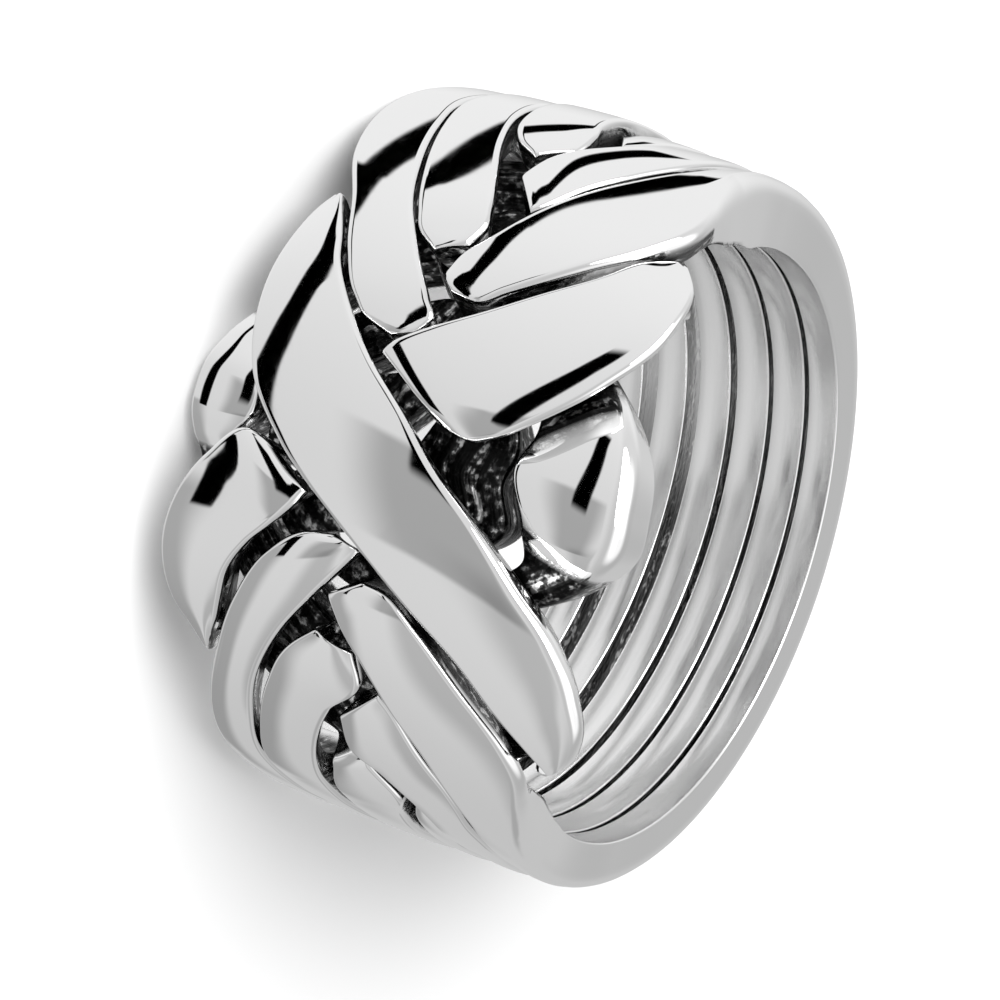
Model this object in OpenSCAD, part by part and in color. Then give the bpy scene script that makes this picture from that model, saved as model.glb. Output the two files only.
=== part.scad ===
// Ring of six wavy bands, woven into a raised head and laid on its side.
// Lengths in millimetres, angles in degrees round the finger, 0 at the middle of the head.

/* [Finger hole] */
// radius of the finger hole
bore_r = 9; // [8.8:0.05:9.2]

/* [Levels of the weave] */
// top of a strand that runs underneath another
low_top = 10.35; // [10.1:0.05:10.4]
// underside of a strand that runs over another
high_under = 10.5; // [10.45:0.05:10.8]
// mean radius of the shank's outside
shank_top = 10.5; // [10:0.1:11.5]

/* [Rest on its side] */
// angle that the ring leans back, resting on its lowest lobe and on the back of the shank
lean = 8.83; // [0:0.01:15]
// angle that it rolls to its heavier shoulder
roll = 2.27; // [0:0.01:5]
// height of the ring's middle over the floor
lift = 5.527; // [5:0.001:9]
// distance that the ring's middle stands to the side of the frame's middle
sideways = 0.311; // [-3:0.001:3]
// distance that the ring's middle stands behind the frame's middle
setback = 0.817; // [-3:0.001:3]

/* [Hidden] */
// metal inside the finger hole that a low strand starts with, cut flush afterwards
bore_spare = 0.04;
low_in = bore_r - bore_spare;
// length of the cutter that opens the finger hole
bore_cutter = 20;
// length of one degree at the middle of the metal
arc_mm = 0.2;
// longest step between two sections in the head
step_mm = 0.62;
// sections from one row to the next in the shank
shank_steps = 3;

// columns of every band table: angle and height of the upper edge,
// angle and height of the lower edge, inner radius, outer radius
UP_A = 0; UP_Z = 1; LO_A = 2; LO_Z = 3; IN = 4; OUT = 5;

// upper and lower height of each band in the shank
shank_z = [[3.9, 2.9], [2.75, 1.65], [1.5, 0.37], [0.15, -0.95], [-1.4, -2.45], [-2.98, -3.95]];

band_1_rows = [
    [-86, 3.93, -86, 2.93, low_in, 10.95],
    [-76, 4.05, -76, 3.0, low_in, 11.1],
    [-66, 4.33, -68, 3.08, 9.35, 11.3],
    [-57, 4.72, -61.5, 2.98, 9.9, 11.5],
    [-50.5, 5.02, -57, 2.72, 10.35, 11.65],
    [-45.0, 5.12, -52.5, 2.32, high_under, 11.8],
    [-38.5, 4.5, -46, 1.55, high_under, 11.9],
    [-31.5, 3.1, -38.5, 0.7, high_under, 12.05],
    [-25.0, 1.45, -31.5, -0.1, high_under, 12.05],
    [-22.5, 0.7, -28.8, -0.5, high_under, 12.0],
    [-22.8, 0.0, -26.2, -0.66, high_under, 11.9],
    [-22.4, -0.1, -26.1, -0.75, low_in, low_top],
    [-21.0, -0.2, -26.0, -1.05, low_in, low_top],
    [-19.2, -0.3, -24.4, -1.6, low_in, low_top],
    [-13.8, -2.1, -18.6, -3.5, low_in, low_top],
    [-5, -3.3, -6.5, -4.6, low_in, low_top],
    [5, -3.3, 6.5, -4.5, low_in, low_top],
    [12.2, -1.9, 17.4, -3.3, low_in, low_top],
    [16.2, -0.3, 21.8, -1.5, low_in, low_top],
    [17.6, 0.0, 22.6, -1.0, low_in, low_top],
    [18.2, 0.2, 22.4, -0.9, low_in, low_top],
    [18.4, 0.3, 22.4, -0.8, high_under, 11.9],
    [18.7, 0.95, 25.0, -0.4, high_under, 12.0],
    [22.5, 2.2, 29.5, 0.45, high_under, 12.0],
    [29.5, 3.65, 36.5, 1.38, high_under, 11.75],
    [36.5, 4.8, 43.5, 2.18, high_under, 11.5],
    [42.0, 5.2, 50.2, 2.65, high_under, 11.25],
    [48.5, 5.05, 56, 2.88, 10.1, 11.05],
    [56, 4.75, 62.5, 2.96, 9.55, 10.85],
    [66, 4.33, 70, 2.95, 9.15, 10.65],
    [78, 4.0, 79, 2.93, low_in, 10.5]];

band_2_rows = [
    [-88, 2.78, -88, 1.65, low_in, 10.95],
    [-78, 2.85, -78, 1.6, low_in, 11.15],
    [-69, 2.92, -71, 1.4, 9.2, 11.4],
    [-60.5, 2.72, -65, 1.14, 9.8, 11.65],
    [-53, 2.15, -59.5, 0.7, high_under, 11.8],
    [-46.5, 1.4, -53.8, -0.1, high_under, 11.9],
    [-41.4, 0.8, -49.6, -0.52, high_under, 11.95],
    [-39.8, 0.5, -46.8, -0.66, high_under, 11.9],
    [-39.4, 0.4, -46.6, -0.78, low_in, low_top],
    [-38.2, 0.1, -47.2, -1.15, low_in, low_top],
    [-37.2, -0.3, -44.8, -1.6, low_in, low_top],
    [-32.5, -2.0, -38.5, -3.3, low_in, low_top],
    [-24, -4.0, -26.5, -5.4, low_in, low_top],
    [-15, -4.85, -16, -6.25, low_in, 10.38],
    [-9.5, -5.42, -9.5, -6.75, low_in, 10.7],
    [-3.5, -4.95, -3.5, -7.0, low_in, 10.95],
    [1.5, -4.9, 1.5, -7.0, low_in, 10.95],
    [6.3, -5.5, 6.3, -6.87, low_in, 10.65],
    [9.8, -5.1, 9.8, -6.6, low_in, low_top],
    [21.0, -3.4, 24, -5.1, low_in, low_top],
    [29.5, -1.7, 34.5, -3.3, low_in, low_top],
    [34.5, -0.2, 40.3, -1.5, low_in, low_top],
    [35.4, 0.5, 41.8, -0.75, low_in, low_top],
    [35.5, 0.85, 42.0, -0.58, high_under, 11.5],
    [37.5, 1.3, 46.5, -0.42, high_under, 11.6],
    [43, 1.92, 50.5, 0.5, high_under, 11.45],
    [50, 2.5, 56.5, 1.15, high_under, 11.15],
    [54, 2.68, 60.2, 1.4, high_under, 11.05],
    [59, 2.77, 64.5, 1.55, 9.8, 10.95],
    [67, 2.82, 71, 1.6, 9.1, 10.7],
    [78, 2.78, 80, 1.64, low_in, 10.5]];

band_3_rows = [
    [-88, 1.5, -88, 0.4, low_in, 11.0],
    [-79, 1.45, -80, 0.32, low_in, 11.2],
    [-72, 1.27, -74, 0.3, low_in, 11.4],
    [-65, 0.95, -70.2, 0.15, low_in, 11.6],
    [-62.2, 0.65, -67.8, 0.02, low_in, 11.55],
    [-61.8, 0.5, -67.4, -0.06, low_in, low_top],
    [-60.3, -0.1, -66.3, -1.1, low_in, low_top],
    [-55.5, -1.95, -60.5, -3.15, low_in, low_top],
    [-48, -3.7, -51.5, -5.2, low_in, low_top],
    [-40, -4.3, -41.5, -5.7, low_in, low_top],
    [-34.0, -4.85, -34.4, -5.5, low_in, low_top],
    [-32.6, -4.9, -33.1, -5.42, 10.2, 11.6],
    [-28, -4.3, -29, -5.55, high_under, 11.85],
    [-22, -3.6, -17, -5.6, high_under, 12.0],
    [-16, -2.55, -5, -4.85, high_under, 12.1],
    [-10, -1.2, 3.5, -3.2, high_under, 12.15],
    [-5, 0.25, 8.0, -1.85, high_under, 12.2],
    [0.5, 1.65, 13.2, -0.1, high_under, 12.2],
    [6.5, 3.5, 18.8, 1.7, high_under, 12.15],
    [12.3, 5.0, 24.6, 3.6, high_under, 12.1],
    [18, 6.35, 30.2, 4.9, 10.7, 12.0],
    [24.5, 7.15, 34.2, 5.85, 10.9, 11.95],
    [30.2, 7.35, 36.8, 6.35, 11.0, 11.85],
    [34.5, 7.1, 37.7, 6.35, 10.95, 11.7],
    [36.8, 6.6, 38.1, 5.95, 10.4, 11.4],
    [39.0, 5.9, 36.9, 5.1, low_in, low_top],
    [42, 5.0, 38.2, 3.9, low_in, low_top],
    [47.8, 3.3, 44.0, 2.1, low_in, low_top],
    [54.5, 2.0, 51.3, 1.0, low_in, low_top],
    [60.0, 1.28, 58.5, 0.78, low_in, low_top],
    [66, 1.4, 66, 0.45, low_in, 10.65],
    [74, 1.5, 74, 0.38, low_in, 10.6],
    [84, 1.5, 84, 0.37, low_in, 10.5]];

band_4_rows = [
    [-88, 0.1, -88, -1.0, low_in, 11.05],
    [-79, -0.1, -79, -1.95, low_in, 11.45],
    [-71, -0.4, -70, -2.5, 10.3, 11.8],
    [-64, -0.25, -61.5, -2.42, high_under, 11.95],
    [-59.6, 0.0, -55, -2.02, high_under, 12.0],
    [-57.2, 0.03, -52.8, -1.6, high_under, 11.95],
    [-55.9, 0.0, -51.9, -1.2, high_under, 11.85],
    [-55.6, 0.05, -51.3, -0.95, low_in, low_top],
    [-55.0, 0.9, -49.7, -0.15, low_in, low_top],
    [-51.5, 2.5, -45.5, 1.4, low_in, low_top],
    [-45.5, 4.5, -39.5, 3.3, low_in, low_top],
    [-42.2, 4.9, -38.2, 4.4, low_in, low_top],
    [-39.0, 5.5, -38.0, 4.75, 10.4, 11.45],
    [-34.5, 6.2, -36.2, 4.35, 10.9, 11.85],
    [-26, 6.4, -31.8, 3.75, 11.0, 12.0],
    [-16.5, 5.45, -26, 2.4, 11.0, 12.05],
    [-9.5, 4.1, -21, 1.1, 11.0, 12.1],
    [-5.2, 2.9, -17.2, -0.1, 10.9, 12.05],
    [-4.2, 2.0, -14.0, -1.0, 10.7, 12.0],
    [-5.6, 1.0, -12.6, -1.25, high_under, 11.95],
    [-9.3, -0.1, -11.9, -1.33, high_under, 11.8],
    [-9.0, -0.2, -11.7, -1.4, low_in, low_top],
    [-7.8, -0.35, -10.8, -1.8, low_in, low_top],
    [-2, -1.0, -5, -2.7, low_in, low_top],
    [5.6, -1.8, 3.0, -2.95, low_in, low_top],
    [8.4, -1.95, 5.9, -2.85, low_in, low_top],
    [9.3, -2.1, 6.3, -2.95, high_under, 11.8],
    [10.8, -2.25, 4.0, -3.8, high_under, 11.9],
    [12.2, -2.45, 3.3, -4.5, high_under, 12.0],
    [14.8, -2.9, 8.2, -5.5, high_under, 12.0],
    [18, -3.5, 15, -6.2, high_under, 12.0],
    [22.5, -4.05, 22.5, -6.4, high_under, 12.0],
    [27.5, -4.3, 29.5, -6.0, high_under, 11.95],
    [31.3, -4.5, 34, -5.35, high_under, 11.8],
    [33.6, -4.68, 37.0, -5.0, high_under, 11.55],
    [34.6, -4.4, 38.0, -4.9, low_in, low_top],
    [38.5, -3.0, 43.0, -4.0, low_in, low_top],
    [44.5, -1.6, 49.0, -2.8, low_in, low_top],
    [49.0, -0.75, 51.8, -1.7, low_in, low_top],
    [52.5, -0.15, 55, -1.6, low_in, 11.0],
    [57.5, 0.62, 60, -1.75, low_in, 11.05],
    [64, 0.28, 66, -1.7, low_in, 10.9],
    [72, 0.15, 73, -1.4, low_in, 10.75],
    [82, 0.12, 82, -1.1, low_in, 10.55]];

band_5_rows = [
    [-88, -1.4, -88, -2.55, low_in, 11.05],
    [-78, -2.15, -78, -3.35, low_in, 11.4],
    [-69, -2.75, -69, -4.18, 9.5, 11.7],
    [-60, -2.6, -60, -4.37, high_under, 11.85],
    [-51, -1.95, -50.5, -3.95, high_under, 11.95],
    [-43, -1.1, -41, -3.25, high_under, 12],
    [-37, -0.5, -33.5, -2.5, high_under, 12.05],
    [-33.8, -0.3, -30.3, -2.05, high_under, 12.0],
    [-31.8, -0.42, -29.0, -1.6, high_under, 11.9],
    [-31.6, -0.3, -28.8, -1.5, low_in, low_top],
    [-31.4, 0.3, -27.5, -0.9, low_in, low_top],
    [-30.3, 1.6, -22.8, 0.6, low_in, low_top],
    [-26.0, 3.6, -17.8, 2.2, low_in, low_top],
    [-18.5, 5.4, -13.6, 3.2, low_in, 10.6],
    [-10.5, 6.45, -8.8, 3.5, low_in, 10.75],
    [-2.5, 6.85, -2.8, 3.25, low_in, 10.8],
    [6.3, 6.8, 4.6, 3.95, low_in, 10.75],
    [13.2, 5.7, 10.0, 4.1, low_in, 10.4],
    [19.0, 4.0, 14.6, 2.9, low_in, low_top],
    [24.5, 2.2, 19.6, 1.1, low_in, low_top],
    [28.0, 0.5, 23.4, -0.3, low_in, low_top],
    [29.6, 0.0, 24.3, -1.35, low_in, low_top],
    [30.0, 0.08, 27.6, -1.4, low_in, low_top],
    [30.2, 0.1, 27.9, -1.35, high_under, 11.8],
    [33, 0.3, 30.3, -1.9, high_under, 11.85],
    [40.5, -0.85, 39, -2.93, high_under, 11.65],
    [49, -1.65, 49, -3.6, high_under, 11.4],
    [58, -2.1, 58, -4.0, 10.3, 11.15],
    [68, -2.15, 68, -3.75, low_in, 10.85],
    [79, -1.75, 79, -3.12, low_in, 10.6],
    [90, -1.42, 90, -2.52, low_in, 10.45]];

band_6_rows = [
    [-88, -2.93, -88, -4.0, low_in, 11.0],
    [-78, -3.5, -78, -4.7, low_in, 11.3],
    [-69, -4.32, -69, -5.5, low_in, 11.55],
    [-60, -4.52, -60, -6.0, 10.2, 11.75],
    [-51.5, -4.12, -51, -6.05, high_under, 11.9],
    [-42.5, -3.5, -40, -5.5, high_under, 12.0],
    [-34.5, -2.75, -32, -4.5, high_under, 12.05],
    [-27, -1.65, -24, -3.65, high_under, 12.05],
    [-20.8, -0.6, -18, -2.75, high_under, 12.05],
    [-18.2, -0.25, -15.7, -2.1, high_under, 12.0],
    [-16.9, -0.42, -15.0, -1.6, high_under, 11.9],
    [-16.6, -0.4, -14.8, -1.55, low_in, low_top],
    [-16.6, 0.3, -13.5, -1.15, low_in, low_top],
    [-12.8, 2.3, -9.2, 0.4, low_in, low_top],
    [-6, 3.0, -5, 0.2, low_in, low_top],
    [0, 2.9, 0, -0.1, low_in, low_top],
    [6.5, 3.35, 4.8, -0.2, low_in, low_top],
    [11.2, 2.6, 8.6, -0.5, low_in, low_top],
    [14.5, -0.08, 12.9, -1.15, low_in, low_top],
    [15.0, -0.15, 13.4, -1.2, high_under, 11.9],
    [16.6, -0.35, 13.9, -1.75, high_under, 12.0],
    [22, -1.2, 18.5, -2.95, high_under, 12.0],
    [29, -2.25, 26.5, -3.88, high_under, 11.9],
    [38, -3.2, 36.5, -4.6, high_under, 11.7],
    [48, -3.77, 48, -5.25, high_under, 11.4],
    [58, -4.15, 58, -5.5, 10.0, 11.1],
    [68, -3.92, 68, -5.2, low_in, 10.85],
    [79, -3.3, 79, -4.5, low_in, 10.6],
    [90, -2.93, 90, -4.0, low_in, 10.45]];

// share of the width by which each side of a strand on top leans in at its underside
undercut = 0.15;
// inner radius above which a rising strand starts to lean in
undercut_from = 9.6;

// shape of every section: share of the width, share of the thickness
profile = [
    [0.06, 0.0], [0.5, 0.0], [0.94, 0.0],
    [1.0, 0.12], [1.0, 0.85], [0.972, 0.94], [0.9, 0.975],
    [0.5, 1.0],
    [0.1, 0.975], [0.028, 0.94], [0.0, 0.85], [0.0, 0.12]];

// thickness that the shank gains from its back to the left shoulder, and the angle between them
shoulder_gain = 0.45;
shoulder_turn = 80;

// outside of the shank behind the finger
function shank_out(a) = shank_top + shoulder_gain * pow(max(0, (a - 180) / shoulder_turn), 2);

// sections of the plain shank from the right shoulder round to the left one
function shank_rows(k) = [for (a = [102 : 18 : 258])
    [a, shank_z[k][0], a, shank_z[k][1], low_in, shank_out(a)]];

function ring_rows(head, k) = concat(head, shank_rows(k));

// row i of a closed table; a turn is added or taken off past its ends
function turn(i, n) = 360 * floor(i / n);
function row(rows, i) =
    let (n = len(rows), r = rows[(i % n + n) % n], t = turn(i, n))
    [r[UP_A] + t, r[UP_Z], r[LO_A] + t, r[LO_Z], r[IN], r[OUT]];

// distance along the band between row i and the next one
function mid(r) = [(r[UP_A] + r[LO_A]) / 2 * arc_mm, (r[UP_Z] + r[LO_Z]) / 2, (r[IN] + r[OUT]) / 2];
function run(rows, i) = norm(mid(row(rows, i + 1)) - mid(row(rows, i)));

// slope of every column at row i: free for the edges, without overshoot for the radii
function even_slope(before, after, h0, h1) = (before * h1 + after * h0) / (h0 + h1);
function held_slope(before, after) = before * after <= 0 ? 0 : 2 * before * after / (before + after);
function slopes(rows, i) =
    let (h0 = run(rows, i - 1), h1 = run(rows, i),
         r = row(rows, i),
         d0 = (r - row(rows, i - 1)) / h0,
         d1 = (row(rows, i + 1) - r) / h1)
    [for (c = [UP_A : OUT]) c < IN ? even_slope(d0[c], d1[c], h0, h1) : held_slope(d0[c], d1[c])];

// smooth section at share t between row i and the next one
function between(rows, i, t) =
    let (h = run(rows, i), t2 = t * t, t3 = t2 * t)
    (2 * t3 - 3 * t2 + 1) * row(rows, i) + (t3 - 2 * t2 + t) * h * slopes(rows, i)
    + (3 * t2 - 2 * t3) * row(rows, i + 1) + (t3 - t2) * h * slopes(rows, i + 1);

function steps(rows, i, head) = i >= head ? shank_steps : max(1, round(run(rows, i) / step_mm));

// corner points of one section
function on_drum(a, z, r) = [r * sin(a), -r * cos(a), z];
function raised(s) =
    let (t = max(0, min(1, (s[IN] - undercut_from) / (high_under - undercut_from))))
    t * t * (3 - 2 * t);
function section(s) = [for (p = profile)
    let (across = 0.5 + (p[0] - 0.5) * (1 - 2 * undercut * raised(s) * (1 - p[1])))
    on_drum(s[UP_A] + across * (s[LO_A] - s[UP_A]),
            s[UP_Z] + across * (s[LO_Z] - s[UP_Z]),
            s[IN] + p[1] * (s[OUT] - s[IN]))];

module closed_band(head, k) {
    rows = ring_rows(head, k);
    n = len(rows);
    sections = [for (i = [0 : n - 1], m = steps(rows, i, len(head)), j = [0 : m - 1])
        section(between(rows, i, j / m))];
    count = len(sections);
    side = len(profile);
    points = [for (s = sections, p = s) p];
    faces = [for (i = [0 : count - 1], j = [0 : side - 1])
        let (a = i * side, b = ((i + 1) % count) * side, j2 = (j + 1) % side)
        each [[a + j, a + j2, b + j], [b + j, a + j2, b + j2]]];
    difference() {
        polyhedron(points, faces);
        cylinder(h = bore_cutter, r = bore_r, center = true, $fn = 180);
    }
}

// lay the ring on its side, on its lower lobes and the back of the shank
module laid_down() {
    translate([sideways, setback, lift]) rotate([-lean, -roll, 0]) children();
}

module band_1() { color([0.82, 0.82, 0.83]) laid_down() closed_band(band_1_rows, 0); }
module band_2() { color([0.78, 0.78, 0.80]) laid_down() closed_band(band_2_rows, 1); }
module band_3() { color([0.84, 0.84, 0.85]) laid_down() closed_band(band_3_rows, 2); }
module band_4() { color([0.74, 0.75, 0.77]) laid_down() closed_band(band_4_rows, 3); }
module band_5() { color([0.80, 0.80, 0.81]) laid_down() closed_band(band_5_rows, 4); }
module band_6() { color([0.76, 0.76, 0.78]) laid_down() closed_band(band_6_rows, 5); }

band_1();
band_2();
band_3();
band_4();
band_5();
band_6();
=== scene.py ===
# %% [markdown]
# # A puzzle ring in polished silver
#
# A puzzle ring is made of several closed wavy bands. Behind the finger they lie side by side,
# and in front they climb over and under each other and lock into one woven head. This lesson
# dresses six such bands. The solid frame of the ring comes first, because every band that is
# made here has to lie exactly where its plain solid lies.

# %% Load the frame
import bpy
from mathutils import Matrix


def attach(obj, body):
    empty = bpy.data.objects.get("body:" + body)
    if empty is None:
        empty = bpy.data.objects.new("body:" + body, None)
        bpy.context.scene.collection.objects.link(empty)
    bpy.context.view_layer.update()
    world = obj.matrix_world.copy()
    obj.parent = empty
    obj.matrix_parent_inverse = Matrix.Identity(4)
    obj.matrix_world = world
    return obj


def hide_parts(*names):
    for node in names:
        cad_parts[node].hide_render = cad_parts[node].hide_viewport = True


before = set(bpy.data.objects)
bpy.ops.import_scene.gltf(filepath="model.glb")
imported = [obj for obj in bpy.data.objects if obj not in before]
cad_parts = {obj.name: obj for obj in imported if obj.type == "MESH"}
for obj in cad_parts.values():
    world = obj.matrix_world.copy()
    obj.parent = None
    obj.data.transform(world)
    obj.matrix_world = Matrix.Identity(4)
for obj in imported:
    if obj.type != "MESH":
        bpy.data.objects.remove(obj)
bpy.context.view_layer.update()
print("solid bands:", sorted(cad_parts))

# %% [markdown]
# The ring lies on its side, so its own axis leans a little. It is easiest to draw a band round
# the finger hole, with the axis upright, and to lay the finished points down at the very end.
# One small matrix does that for the bands, and later for the camera. The lamp and the tent belong
# to the table, so they need no such turn.

# %% How the ring lies
import math

import bpy
import numpy as np
from mathutils import Matrix, Vector

MM = 0.001
lean, roll = 8.83, 2.27
sideways, setback, lift = 0.311, 0.817, 5.527
lying = (Matrix.Translation(Vector((sideways, setback, lift)) * MM)
         @ Matrix.Rotation(math.radians(-roll), 4, "Y")
         @ Matrix.Rotation(math.radians(-lean), 4, "X"))
print("ring axis over the floor:", [round(v, 3) for v in lying.to_3x3() @ Vector((0, 0, 1))])

# %% [markdown]
# A band changes all the way round: it is narrow and flat behind the finger, and broad, tall or
# sunk in the head. A short table says that well. Each row is one section, by the angle and the
# height of its two edges and by its inner and outer radius, in millimetres and degrees. A low
# strand starts a hair inside the finger hole and is cut flush later, and a high strand leaves
# room for a low one underneath.

# %% Levels of the weave
bore_r = 9.0
bore_spare = 0.04
low_in, low_top = bore_r - bore_spare, 10.35
high_under = 10.5
shank_top = 10.5
UP_A, UP_Z, LO_A, LO_Z, IN, OUT = range(6)
print("a low strand is", round(low_top - bore_r, 2), "mm thick")

# %% [markdown]
# The first band is a plain V: it comes down from the top of the left shoulder over its
# neighbours, dips to the bottom of the weave in front, and climbs out on the right.

# %% First band
band_1_rows = [
    [-86, 3.93, -86, 2.93, low_in, 10.95],
    [-76, 4.05, -76, 3.0, low_in, 11.1],
    [-66, 4.33, -68, 3.08, 9.35, 11.3],
    [-57, 4.72, -61.5, 2.98, 9.9, 11.5],
    [-50.5, 5.02, -57, 2.72, 10.35, 11.65],
    [-45.0, 5.12, -52.5, 2.32, high_under, 11.8],
    [-38.5, 4.5, -46, 1.55, high_under, 11.9],
    [-31.5, 3.1, -38.5, 0.7, high_under, 12.05],
    [-25.0, 1.45, -31.5, -0.1, high_under, 12.05],
    [-22.5, 0.7, -28.8, -0.5, high_under, 12.0],
    [-22.8, 0.0, -26.2, -0.66, high_under, 11.9],
    [-22.4, -0.1, -26.1, -0.75, low_in, low_top],
    [-21.0, -0.2, -26.0, -1.05, low_in, low_top],
    [-19.2, -0.3, -24.4, -1.6, low_in, low_top],
    [-13.8, -2.1, -18.6, -3.5, low_in, low_top],
    [-5, -3.3, -6.5, -4.6, low_in, low_top],
    [5, -3.3, 6.5, -4.5, low_in, low_top],
    [12.2, -1.9, 17.4, -3.3, low_in, low_top],
    [16.2, -0.3, 21.8, -1.5, low_in, low_top],
    [17.6, 0.0, 22.6, -1.0, low_in, low_top],
    [18.2, 0.2, 22.4, -0.9, low_in, low_top],
    [18.4, 0.3, 22.4, -0.8, high_under, 11.9],
    [18.7, 0.95, 25.0, -0.4, high_under, 12.0],
    [22.5, 2.2, 29.5, 0.45, high_under, 12.0],
    [29.5, 3.65, 36.5, 1.38, high_under, 11.75],
    [36.5, 4.8, 43.5, 2.18, high_under, 11.5],
    [42.0, 5.2, 50.2, 2.65, high_under, 11.25],
    [48.5, 5.05, 56, 2.88, 10.1, 11.05],
    [56, 4.75, 62.5, 2.96, 9.55, 10.85],
    [66, 4.33, 70, 2.95, 9.15, 10.65],
    [78, 4.0, 79, 2.93, low_in, 10.5]]
print("first band:", len(band_1_rows), "rows")

# %% [markdown]
# The second band runs beside it and reaches lowest. Its lobe hangs under the head and is one
# of the places that the ring rests on.

# %% Second band
band_2_rows = [
    [-88, 2.78, -88, 1.65, low_in, 10.95],
    [-78, 2.85, -78, 1.6, low_in, 11.15],
    [-69, 2.92, -71, 1.4, 9.2, 11.4],
    [-60.5, 2.72, -65, 1.14, 9.8, 11.65],
    [-53, 2.15, -59.5, 0.7, high_under, 11.8],
    [-46.5, 1.4, -53.8, -0.1, high_under, 11.9],
    [-41.4, 0.8, -49.6, -0.52, high_under, 11.95],
    [-39.8, 0.5, -46.8, -0.66, high_under, 11.9],
    [-39.4, 0.4, -46.6, -0.78, low_in, low_top],
    [-38.2, 0.1, -47.2, -1.15, low_in, low_top],
    [-37.2, -0.3, -44.8, -1.6, low_in, low_top],
    [-32.5, -2.0, -38.5, -3.3, low_in, low_top],
    [-24, -4.0, -26.5, -5.4, low_in, low_top],
    [-15, -4.85, -16, -6.25, low_in, 10.38],
    [-9.5, -5.42, -9.5, -6.75, low_in, 10.7],
    [-3.5, -4.95, -3.5, -7.0, low_in, 10.95],
    [1.5, -4.9, 1.5, -7.0, low_in, 10.95],
    [6.3, -5.5, 6.3, -6.87, low_in, 10.65],
    [9.8, -5.1, 9.8, -6.6, low_in, low_top],
    [21.0, -3.4, 24, -5.1, low_in, low_top],
    [29.5, -1.7, 34.5, -3.3, low_in, low_top],
    [34.5, -0.2, 40.3, -1.5, low_in, low_top],
    [35.4, 0.5, 41.8, -0.75, low_in, low_top],
    [35.5, 0.85, 42.0, -0.58, high_under, 11.5],
    [37.5, 1.3, 46.5, -0.42, high_under, 11.6],
    [43, 1.92, 50.5, 0.5, high_under, 11.45],
    [50, 2.5, 56.5, 1.15, high_under, 11.15],
    [54, 2.68, 60.2, 1.4, high_under, 11.05],
    [59, 2.77, 64.5, 1.55, 9.8, 10.95],
    [67, 2.82, 71, 1.6, 9.1, 10.7],
    [78, 2.78, 80, 1.64, low_in, 10.5]]
print("second band:", len(band_2_rows), "rows")

# %% [markdown]
# The third band hides first, passes under three others, and then crosses the whole head on top
# as its broadest strand.

# %% Third band
band_3_rows = [
    [-88, 1.5, -88, 0.4, low_in, 11.0],
    [-79, 1.45, -80, 0.32, low_in, 11.2],
    [-72, 1.27, -74, 0.3, low_in, 11.4],
    [-65, 0.95, -70.2, 0.15, low_in, 11.6],
    [-62.2, 0.65, -67.8, 0.02, low_in, 11.55],
    [-61.8, 0.5, -67.4, -0.06, low_in, low_top],
    [-60.3, -0.1, -66.3, -1.1, low_in, low_top],
    [-55.5, -1.95, -60.5, -3.15, low_in, low_top],
    [-48, -3.7, -51.5, -5.2, low_in, low_top],
    [-40, -4.3, -41.5, -5.7, low_in, low_top],
    [-34.0, -4.85, -34.4, -5.5, low_in, low_top],
    [-32.6, -4.9, -33.1, -5.42, 10.2, 11.6],
    [-28, -4.3, -29, -5.55, high_under, 11.85],
    [-22, -3.6, -17, -5.6, high_under, 12.0],
    [-16, -2.55, -5, -4.85, high_under, 12.1],
    [-10, -1.2, 3.5, -3.2, high_under, 12.15],
    [-5, 0.25, 8.0, -1.85, high_under, 12.2],
    [0.5, 1.65, 13.2, -0.1, high_under, 12.2],
    [6.5, 3.5, 18.8, 1.7, high_under, 12.15],
    [12.3, 5.0, 24.6, 3.6, high_under, 12.1],
    [18, 6.35, 30.2, 4.9, 10.7, 12.0],
    [24.5, 7.15, 34.2, 5.85, 10.9, 11.95],
    [30.2, 7.35, 36.8, 6.35, 11.0, 11.85],
    [34.5, 7.1, 37.7, 6.35, 10.95, 11.7],
    [36.8, 6.6, 38.1, 5.95, 10.4, 11.4],
    [39.0, 5.9, 36.9, 5.1, low_in, low_top],
    [42, 5.0, 38.2, 3.9, low_in, low_top],
    [47.8, 3.3, 44.0, 2.1, low_in, low_top],
    [54.5, 2.0, 51.3, 1.0, low_in, low_top],
    [60.0, 1.28, 58.5, 0.78, low_in, low_top],
    [66, 1.4, 66, 0.45, low_in, 10.65],
    [74, 1.5, 74, 0.38, low_in, 10.6],
    [84, 1.5, 84, 0.37, low_in, 10.5]]
print("third band:", len(band_3_rows), "rows")

# %% [markdown]
# The fourth band changes its level most often: over the shoulder, under two, on top as the
# short broad lobe in the middle, under the third band and up again as a wedge.

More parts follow.
